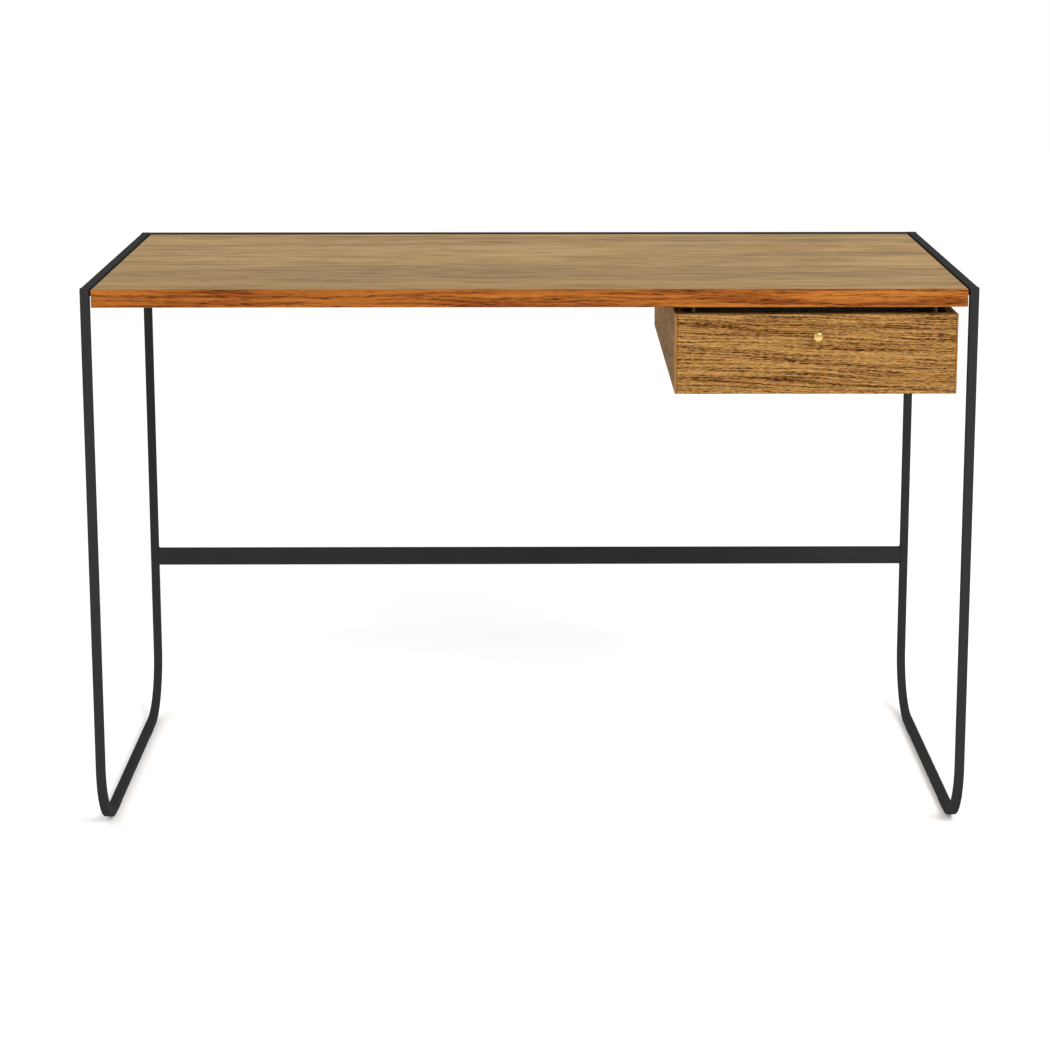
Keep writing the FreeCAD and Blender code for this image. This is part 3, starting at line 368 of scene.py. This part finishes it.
# %% Birch plywood and beech
def pale_wood(name, grain, light, dark, seed):
    """Half the sum of two stretched noises, one broad and one fine, between two close colours."""
    finish = Finish(name)
    axis = grain_axis(grain)
    moved = finish.vectors("ADD", finish.place(), (seed, seed, seed))
    fine = streaks(finish, moved, axis, length=24 * MM, width=0.9 * MM, detail=3.0, harsh=0.6)
    fibres = fine.above(*MOST_OF_NOISE)
    broad = streaks(finish, moved, axis, length=240 * MM, width=15 * MM)
    bands = broad.above(*MOST_OF_NOISE)
    colour = finish.mixed(bands * 0.5 + fibres * 0.5, light, dark)
    normal = finish.bump(fibres, depth=0.05 * MM)
    return finish.done(Base_Color=colour, Roughness=0.5 + fibres * 0.15, Normal=normal,
                       Specular_IOR_Level=0.2)


BIRCH = pale_wood("birch_plywood", "x", rgb(190, 160, 116), rgb(162, 130, 86), seed=2.2)
BEECH = pale_wood("beech", "x", rgb(184, 148, 104), rgb(154, 118, 78), seed=4.4)

# %% [markdown]
# ## Powder coat
# The frame is sprayed with dry charcoal powder and baked. The powder melts into a matt skin that
# is slightly pebbled, like orange peel. The pebbles could be in the mesh, but they are only a
# millimetre wide, so a fine noise tilts the light instead. A slow noise changes the gloss from
# place to place, because no baked skin is even. The hangers' pale, warm grey is painted light: it
# stands in for light on the hangers and the rail between them, which lie in shade under the top.

# %% Powder coat
PEBBLE = 1.1 * MM
UNEVEN = 70 * MM
PEBBLE_SHARE = 0.3
COAT_ROUGHNESS = 0.55
COAT_SHINE = 0.004


def powder_coat(name, colour, paler):
    """Two noises, one for the pebbles and one for the uneven gloss, mix two close colours."""
    finish = Finish(name)
    place = finish.place()
    pebble = finish.noise(place, PEBBLE, harsh=0.6)
    slow = finish.noise(place, UNEVEN, detail=3.0)
    share = slow * (1 - PEBBLE_SHARE) + pebble * PEBBLE_SHARE
    colour = finish.mixed(share, colour, paler)
    normal = finish.bump(pebble, depth=0.05 * MM)
    return finish.done(Base_Color=colour, Roughness=COAT_ROUGHNESS + slow * 0.1, Normal=normal,
                       Specular_IOR_Level=COAT_SHINE)


CHARCOAL = powder_coat("charcoal_powder_coat", rgb(39, 39, 39), rgb(45, 45, 45))
# Painted light: the hangers' coat is made pale so that they read as lit in the shade above the
# drawer.
HANGER_GREY_WITH_PAINTED_LIGHT = powder_coat("warm_grey_coat_with_painted_light", rgb(124, 112, 98), rgb(134, 121, 106))

# %% [markdown]
# ## Bright metals
# The slides and screws are steel with a thin coat of zinc, which settles in faint clouds. The
# slides are rolled, so their marks run along them. The knob is brass, turned and polished, so its
# marks run round it. Marks this fine could not be modelled as faces. They only change how sharp a
# reflection is and how it leans, and a stretched noise does that.


# %% Bright metals
def metal(name, colour, darker, rough, mark, cloud=12 * MM, depth=0.004 * MM):
    """Fine noise, which may be stretched, for tool marks, and slow noise for clouds."""
    finish = Finish(name)
    place = finish.place()
    marks = finish.noise(place, mark)
    clouds = finish.noise(place, cloud, detail=3.0).above(0.25, 0.75)
    colour = finish.mixed(clouds, colour, darker)
    return finish.done(Base_Color=colour, Metallic=1.0, Roughness=rough + marks * 0.1,
                       Normal=finish.bump(marks, depth))


ZINC = metal("zinc_plate", rgb(200, 202, 204), rgb(180, 183, 187), rough=0.28, mark=0.6 * MM)
ROLLED_ZINC = metal("rolled_zinc", rgb(196, 199, 203), rgb(184, 187, 192), rough=0.3,
                    mark=(0.5 * MM, 20 * MM, 0.5 * MM), cloud=30 * MM)
BALL_STEEL = metal("polished_steel", rgb(206, 208, 212), rgb(196, 198, 202), rough=0.14,
                   mark=1 * MM)
BRASS = metal("turned_brass", rgb(206, 178, 112), rgb(188, 156, 86), rough=0.1,
              mark=(3 * MM, 0.15 * MM, 3 * MM), depth=0.002 * MM)

# %% [markdown]
# ## Nylon
# The runners stand on small black pads, moulded in nylon so that they don't mark a floor. One
# plain black would look like a hole, so a soft noise gives it the waxy look of moulded plastic.

# %% Nylon
pads = Finish("black_nylon")
wax = pads.noise(pads.place(), 3 * MM)
BLACK_NYLON = pads.done(Base_Color=pads.mixed(wax, rgb(30, 30, 30), rgb(38, 38, 38)),
                        Roughness=0.4 + wax * 0.15, Normal=pads.bump(wax, 0.03 * MM))

# %% [markdown]
# ## Paint the CAD nodes
# Each CAD node arrives with one slot, named for what the record says it is made of. Only the
# slot's material is changed. A list of nodes would do too, but a finish for each slot can't leave
# a node out. The drawer's front and back need grain across the drawer, so they are named.

# %% Paint the CAD nodes
by_slot = {
    "steel": CHARCOAL,
    "hanger_steel": HANGER_GREY_WITH_PAINTED_LIGHT,
    "slide_steel": ROLLED_ZINC,
    "ball_steel": BALL_STEEL,
    "zinc": ZINC,
    "nylon": BLACK_NYLON,
    "top_wood": OAK_TOP,
    "edge_wood": OAK_EDGE,
    "drawer_wood": OAK_SIDE,
    "drawer_bottom_wood": BIRCH,
    "dowel_wood": BEECH,
    "knob_brass": BRASS,
}
by_node = {"drawer_front": OAK_FRONT, "drawer_back": OAK_BACK}
for name, node in nodes.items():
    slot_name = node.material_slots[0].material.name
    node.material_slots[0].material = by_node.get(name, by_slot[slot_name])
print("painted", len(nodes), "nodes with", len(by_slot) + len(by_node), "finishes")

# %% [markdown]
# ## Closed skins
# Every new piece is a stack of rings with the same number of points. Each ring is joined to the
# next by four-sided faces, and the first and last rings shrink to one point, which closes the
# skin. Blender's Screw modifier turns a curve too, but only into round rings, and a screw's cross
# isn't round. So the whole grid is worked out as arrays, and copies are the same arrays moved.


# %% Rings and faces
def skin(rings):
    """rings is an array (rows, columns, 3). Its first and last rows are single points.
    A face joins point j of row i to its neighbours at j + 1 and in row i + 1."""
    rows, columns = rings.shape[:2]
    points = np.vstack([rings[:1, 0], rings[1:-1].reshape(-1, 3), rings[-1:, 0]])
    grid = 1 + np.arange((rows - 2) * columns).reshape(rows - 2, columns)
    after = np.roll(grid, -1, axis=1)
    quads = np.stack([grid[:-1], after[:-1], after[1:], grid[1:]], axis=-1).reshape(-1, 4)
    first = np.stack([np.zeros(columns, int), after[0], grid[0]], axis=-1)
    last = np.stack([np.full(columns, len(points) - 1), grid[-1], after[-1]], axis=-1)
    return points, quads, np.vstack([first, last])


def turned(profile, columns):
    """A lathe shape: each (radius, height) of the profile makes one ring about the third axis."""
    profile = np.array(profile, float)
    angle = np.arange(columns) * (2 * math.pi / columns)
    wide = profile[:, :1]
    ring = np.stack([wide * np.cos(angle), wide * np.sin(angle)], axis=-1)
    tall = np.broadcast_to(profile[:, 1:2, None], (*ring.shape[:2], 1))
    return np.concatenate([ring, tall], axis=-1)


def volume(points, quads, tris):
    """Sum over triangles of the corner product a . (b x c) / 6: positive if faces point out."""
    halves = np.vstack([tris, quads[:, [0, 1, 2]], quads[:, [0, 2, 3]]])
    a, b, c = (points[halves[:, k]] for k in range(3))
    return float(np.einsum("ij,ij->", a, np.cross(b, c)) / 6)


test_tin = turned([(0, 0), (1, 0), (1, 1), (0, 1)], columns=48)
print("a tin of radius 1 and height 1 holds", round(abs(volume(*skin(test_tin))), 3))


# %% A piece from copies of a skin
def build(name, rings, frames, finish, body, replaced=(), crisp=0):
    """One piece from copies of a skin. Each frame is a place and three axes, as rows.
    The first crisp rings have flat faces, and the rest are shaded as one smooth surface."""
    points, quads, tris = skin(rings)
    copies = []
    corners = []
    for number, (place, axes) in enumerate(frames):
        moved = points @ np.array(axes, float) + np.array(place, float)
        order = 1 if volume(moved, quads, tris) > 0 else -1
        copies.append(moved)
        corners += (quads[:, ::order] + number * len(points)).tolist()
        corners += (tris[:, ::order] + number * len(points)).tolist()
    columns = rings.shape[1]
    flat = np.zeros(len(quads) + len(tris), bool)
    flat[:max(crisp - 1, 0) * columns] = True
    flat[len(quads):len(quads) + columns] = crisp > 0
    mesh = bpy.data.meshes.new(name)
    mesh.from_pydata(np.vstack(copies).tolist(), [], corners)
    mesh.polygons.foreach_set("use_smooth", ~np.tile(flat, len(copies)))
    mesh.materials.append(finish)
    mesh.update()
    piece = bpy.data.objects.new(name, mesh)
    bpy.context.scene.collection.objects.link(piece)
    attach(piece, body)
    if replaced:
        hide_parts(*replaced)
    print(name, "copies:", len(copies), "faces:", len(corners))


UPWARD = [(1, 0, 0), (0, 1, 0), (0, 0, 1)]
FORWARD = [(1, 0, 0), (0, 0, 1), (0, -1, 0)]
RIGHTWARD = [(0, 1, 0), (0, 0, 1), (1, 0, 0)]
LEFTWARD = [(0, -1, 0), (0, 0, 1), (-1, 0, 0)]
print("a screw can point", {"forward": FORWARD[2], "right": RIGHTWARD[2], "left": LEFTWARD[2]})

# %% [markdown]
# ## The knob
# The knob is turned from a brass rod: a foot against the wood, a hollow, a thin neck for two
# fingers, a flare, and a head whose face is slightly domed. A lathe makes any shape that has a
# radius for each height, and so does the turned function. Its own curve is a row of short arcs.

# %% The knob's sizes
KNOB_LOW, KNOB_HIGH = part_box("knob")
knob_long = KNOB_HIGH.y - KNOB_LOW.y
head = (KNOB_HIGH.x - KNOB_LOW.x) / 2
foot = 4.6 * MM
neck = 3.1 * MM
pinch = 0.15 * MM
dome = 2.4 * MM
bevel = 0.2 * MM
bore_wide = 2 * MM
bore_deep = 11 * MM
foot_tall = 1.3 * MM
hollow_span = (1.4 * MM, 3.4 * MM)
waist_span = (3.6 * MM, 8.4 * MM)
flare_span = (8.6 * MM, 13.2 * MM)
print("the knob is", round(knob_long / MM, 2), "mm long and", round(2 * head / MM, 2), "mm wide")


# %% The knob's curve
def arc(radius, start, end):
    """Points (radius, height) whose heights go evenly from start to end."""
    return np.stack([radius, np.linspace(start, end, len(radius))], axis=1)


# With t from 0 to 1 along each arc: the hollow narrows as (1 - t) squared, the waist is pinched
# by a sine, and the flare eases in and out as 3 t^2 - 2 t^3. The crown is a quarter circle, with
# powers below 1 that make its corner fuller.
part = np.linspace(0, 1, 13)
ease = part * part * (3 - 2 * part)
quarter = np.linspace(0, math.pi / 2, 25)
bore = [(0, bore_deep), (bore_wide, bore_deep), (bore_wide, 0)]
base = [(foot - bevel, 0), (foot, bevel), (foot, foot_tall)]
hollow = arc(neck + (foot - neck) * (1 - part) ** 2, *hollow_span)
waist = arc(neck - pinch * np.sin(math.pi * part), *waist_span)
flare = arc(neck + (head - neck) * ease, *flare_span)
face_wide = head * np.cos(quarter) ** 0.7
face_height = knob_long - dome + dome * np.sin(quarter) ** 0.8
crown = np.stack([face_wide, face_height], axis=1)
crown[-1, 0] = 0
knob_profile = np.vstack([bore, base, hollow, waist, flare, crown])
knob_place = ((KNOB_LOW.x + KNOB_HIGH.x) / 2, KNOB_HIGH.y, (KNOB_LOW.z + KNOB_HIGH.z) / 2)
build("turned_knob", turned(knob_profile, columns=72), [(knob_place, FORWARD)],
      BRASS, "drawer", ["knob"])

# %% [markdown]
# ## Cross-head screws
# A CAD screw is a plain head on a rod. A real one has a domed head with a cross pressed in for
# the driver. Cutting the cross out with a Boolean modifier leaves long thin faces. But seen from
# its middle, a cross is a radius for each angle: the longer of two bars. So the head is still a
# stack of rings, whose first rings are crosses and whose others are round.

# %% One screw as rings
SHANK = 1.9 * MM
BAR_ANGLE = math.radians(15)
CROSS_WIDE = 0.52
CROSS_DEEP = 0.7
RIM_WIDE = 0.7
RIM_DROP = 0.04
DOME_START = 0.72
DOME_RINGS = 6
COLUMNS = 48
NEVER_ZERO = 1e-6


def cross_radius(angle, arm):
    """The larger of two bars, min(arm / |cos|, half width / |sin|) and the same turned by a
    right angle."""
    half = arm * math.tan(BAR_ANGLE)
    cos = np.maximum(abs(np.cos(angle)), NEVER_ZERO)
    sin = np.maximum(abs(np.sin(angle)), NEVER_ZERO)
    return np.maximum(np.minimum(arm / cos, half / sin), np.minimum(arm / sin, half / cos))


def screw_rings(long, head_wide, head_tall):
    """The cross at its floor, the cross at its mouth, two rings that turn from cross to circle,
    then circles over the dome, under the head and down the shank to its point. The dome's height
    is a cosine of the turn, and its radius grows as a sine."""
    angle = np.arange(COLUMNS) * (2 * math.pi / COLUMNS)
    cross = cross_radius(angle, CROSS_WIDE * head_wide)
    bottom = -head_tall * (1 - CROSS_DEEP)
    radii = [0 * cross, 0.5 * cross, cross]
    heights = [bottom, bottom, -head_tall * (1 - RIM_DROP)]
    for share in (0.25, 0.6):
        radii.append(cross + share * (RIM_WIDE * head_wide - cross))
        heights.append(-head_tall * (1 - RIM_DROP * share))
    for turn in np.linspace(0, math.pi / 2, DOME_RINGS):
        wide = DOME_START + (1 - DOME_START) * math.sin(turn)
        radii.append(0 * cross + head_wide * wide)
        heights.append(-head_tall * math.cos(turn))
    for radius, height in ((SHANK, 0), (SHANK, long - 2 * SHANK), (0, long)):
        radii.append(0 * cross + radius)
        heights.append(height)
    radii = np.array(radii)
    flat = np.stack([radii * np.cos(angle), radii * np.sin(angle)], axis=-1)
    tall = np.broadcast_to(np.array(heights)[:, None, None], (*radii.shape, 1))
    return np.concatenate([flat, tall], axis=-1)


WIDE_HEAD = 4 * MM
TALL_HEAD = 2.2 * MM
print("a screw's rings and points:", screw_rings(12 * MM, WIDE_HEAD, TALL_HEAD).shape[:2])


# %% Screws that point up
def row(node, axis, count, reach):
    """Middles of a row of equal pieces along an axis, from the CAD group's own box. The end ones
    lie a reach inside it."""
    low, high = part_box(node)
    return np.linspace(low[axis] + reach, high[axis] - reach, count)


def middle(node, axis):
    """The middle of the CAD group's box, as a row of one."""
    low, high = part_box(node)
    return [(low[axis] + high[axis]) / 2]


def upward_screws(name, node, xs, ys):
    """Screws that point up, at each x and y, from the CAD group's lowest to its highest point."""
    low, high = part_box(node)
    under = low.z + TALL_HEAD
    frames = [((x, y, under), UPWARD) for x in xs for y in ys]
    rings = screw_rings(high.z - under, WIDE_HEAD, TALL_HEAD)
    build(name, rings, frames, ZINC, "desk_frame", [node], crisp=3)


for side in ("left", "right"):
    node = side + "_tab_screws"
    upward_screws(side + "_cross_head_tab_screws", node, xs=middle(node, axis=0),
                  ys=row(node, axis=1, count=3, reach=WIDE_HEAD))
upward_screws("rear_cross_head_tab_screws", "rear_tab_screws",
              xs=row("rear_tab_screws", axis=0, count=3, reach=WIDE_HEAD),
              ys=middle("rear_tab_screws", axis=1))
upward_screws("cross_head_hanger_screws", "hanger_screws",
              xs=row("hanger_screws", axis=0, count=2, reach=WIDE_HEAD),
              ys=row("hanger_screws", axis=1, count=4, reach=WIDE_HEAD))

# %% [markdown]
# ## Screws in the slides and the knob
# The slides are held by thin, flat heads, because the members slide past them. Half of them go
# outwards into the hangers' steel and half into the drawer's wood. One long screw comes through
# the drawer's front from inside, and draws the knob tight. They are the same rings with other
# sizes, laid on their side.

# %% Screws in the slides
FLAT_HEAD = 3.6 * MM
THIN_HEAD = 0.9 * MM


def slide_screws(name, node, body, long, ways, outer_head):
    """Two rows of screws along y, one at each side of the group, that point the two ways."""
    low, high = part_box(node)
    edge = THIN_HEAD if outer_head else long
    z = (low.z + high.z) / 2
    sides = ((low.x + edge, ways[0]), (high.x - edge, ways[1]))
    ys = row(node, axis=1, count=3, reach=FLAT_HEAD)
    frames = [((x, y, z), way) for x, way in sides for y in ys]
    build(name, screw_rings(long, FLAT_HEAD, THIN_HEAD), frames, ZINC, body,
          [node], crisp=3)


slide_screws("cross_head_slide_screws", "slide_to_hanger_screws", "desk_frame",
             long=6 * MM, ways=(RIGHTWARD, LEFTWARD), outer_head=True)
slide_screws("cross_head_drawer_screws", "slide_to_drawer_screws", "drawer",
             long=10 * MM, ways=(LEFTWARD, RIGHTWARD), outer_head=False)

# %% The screw in the knob
low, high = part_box("knob_screw")
under = high.y - TALL_HEAD
knob_screw_place = ((low.x + high.x) / 2, under, (low.z + high.z) / 2)
build("cross_head_knob_screw", screw_rings(under - low.y, WIDE_HEAD, TALL_HEAD),
      [(knob_screw_place, FORWARD)], ZINC, "drawer", ["knob_screw"], crisp=3)

# %% [markdown]
# ## Weld beads
# The tabs and the crossbar are welded to the bars. A welder moves the arc in small steps, and
# each step leaves one ripple. A bump could fake the ripples but not the bead's outline, so the
# bead is a rod whose radius swells and shrinks along it. It lies in the corner between two parts,
# half sunk in both. The coat covers it like the rest.

# %% Weld beads
RIPPLE = 1.3 * MM
RIPPLE_DEPTH = 0.14
BEAD_STEP = 0.35 * MM
BEAD_COLUMNS = 14


def bead_rings(long, thick):
    """Rings along a straight run: radius = thick x rounded ends x ripple. The ripple is
    1 - depth + depth x the size of a sine of the distance, and the ends close as a half circle
    does."""
    along = np.linspace(-1, 1, int(long / BEAD_STEP)) * long / 2
    past = ((abs(along) - (long / 2 - thick)) / thick).clip(0)
    rounded = np.sqrt(np.clip(1 - past ** 2, 0, 1))
    ripple = 1 - RIPPLE_DEPTH + RIPPLE_DEPTH * abs(np.sin(along * math.pi / RIPPLE))
    profile = np.stack([thick * rounded * ripple, along], axis=1)
    profile[[0, -1], 0] = 0
    return turned(profile, BEAD_COLUMNS)


tab_bead = bead_rings(long=26 * MM, thick=1.7 * MM)
crossbar_bead = bead_rings(long=10.5 * MM, thick=1.3 * MM)
print("rings in the two beads:", len(tab_bead), len(crossbar_bead))

# %% Beads at the tabs and the crossbar
ALONG_X = RIGHTWARD
ALONG_Y = [(0, 0, 1), (1, 0, 0), (0, 1, 0)]
TAB_HALF = 15 * MM


def weld(name, rings, frames):
    """Beads of one size, coated like the frame."""
    build(name, rings, frames, CHARCOAL, "desk_frame")


bar_low, bar_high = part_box("left_top_bar")
tab_rows = row("left_support_tabs", axis=1, count=3, reach=TAB_HALF)
weld("side_tab_welds", tab_bead,
     [((x, y, bar_low.z), ALONG_Y) for x in (bar_high.x, -bar_high.x) for y in tab_rows])
rail_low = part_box("rear_top_rail")[0]
tab_columns = row("rear_support_tabs", axis=0, count=3, reach=TAB_HALF)
weld("rear_tab_welds", tab_bead, [((x, rail_low.y, rail_low.z), ALONG_X) for x in tab_columns])
low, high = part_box("rear_stretcher")
crossbar_y = (low.y + high.y) / 2
weld("crossbar_welds", crossbar_bead,
     [((x, crossbar_y, z), ALONG_Y) for x in (low.x, high.x) for z in (low.z, high.z)])

# %% [markdown]
# ## Floor
# The desk stands on pale, matt paper. A studio's roll of paper has an end, but a very large
# square costs nothing here and has no edge in view. A faint glow of its own keeps it white.

# %% Floor
paper = Finish("white_paper")
cloudy = paper.noise(paper.place(), 1.2)
paper_colour = paper.mixed(cloudy, (0.95, 0.95, 0.95, 1), (0.96, 0.96, 0.96, 1))
WHITE_PAPER = paper.done(Base_Color=paper_colour, Roughness=0.9, Specular_IOR_Level=0.0,
                         Emission_Color=(1, 1, 1, 1), Emission_Strength=0.05)
FLOOR_HALF = 60.0
around = ((-1, -1), (1, -1), (1, 1), (-1, 1))
floor_corners = [(x * FLOOR_HALF, y * FLOOR_HALF, 0) for x, y in around]
floor_mesh = bpy.data.meshes.new("studio_floor")
floor_mesh.from_pydata(floor_corners, [], [(0, 1, 2, 3)])
floor_mesh.materials.append(WHITE_PAPER)
floor = bpy.data.objects.new("studio_floor", floor_mesh)
bpy.context.scene.collection.objects.link(floor)
floor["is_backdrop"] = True
print("the floor is", 2 * FLOOR_HALF, "m wide")

# %% [markdown]
# ## Light
# A white room lights every face alike and leaves no hard shadow. Two soft lamps add a little
# direction: a large one high in front, and a weaker one at the left. Both stand high, because
# a low lamp would glare in the top for anyone who looks along it from behind.

# %% Light
world = bpy.data.worlds.new("studio")
bpy.context.scene.world = world
world.use_nodes = True
sky = world.node_tree.nodes["Background"]
sky.inputs["Color"].default_value = (1.0, 1.0, 1.0, 1.0)
sky.inputs["Strength"].default_value = 1.0


def softbox(name, place, aim, size, power):
    """A square lamp that faces the point aim. Its size is in metres, its power in watts."""
    lamp = bpy.data.lights.new(name, "AREA")
    lamp.shape = "SQUARE"
    lamp.size = size
    lamp.energy = power
    holder = bpy.data.objects.new(name, lamp)
    holder.location = place
    holder.rotation_euler = (Vector(aim) - Vector(place)).to_track_quat("-Z", "Y").to_euler()
    bpy.context.scene.collection.objects.link(holder)
    print("lamp", name, "at", place)


MIDDLE = (0.1, -0.2, 0.6)
softbox("key", place=(1.9, -3.3, 2.9), aim=MIDDLE, size=1.4, power=115)
softbox("fill", place=(-3.0, -2.6, 2.6), aim=MIDDLE, size=2.0, power=25)

# %% [markdown]
# ## Camera
# A long lens from eye height keeps the desk's sides nearly parallel, and shows its top as a
# narrow band. A large shift would make them quite parallel, but other views keep the shift and
# would lose the desk. So the camera looks down, and a small shift sets the desk in the frame.

# %% Camera
# Both turns are in degrees.
LOOK_DOWN = 11.21
TURN_RIGHT = 0.426
lens = bpy.data.cameras.new("camera")
lens.lens = 91.82
lens.shift_x = -0.0199
lens.shift_y = -0.1
camera = bpy.data.objects.new("camera", lens)
camera.location = (-0.005, -3.761, 1.2682)
camera.rotation_euler = Euler((math.radians(90 - LOOK_DOWN), 0.0, -math.radians(TURN_RIGHT)))
bpy.context.scene.collection.objects.link(camera)
bpy.context.scene.camera = camera
bpy.context.scene.view_settings.view_transform = "Standard"
print("the camera stands", round(-camera.location.y, 2), "m from the middle of the desk")

# %% [markdown]
# ## Sizes, and the end
# The finishes and new pieces must leave the desk as large as its CAD, and the box around all but
# the floor is worked out here.

# %% Sizes, and the end
low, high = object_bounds()
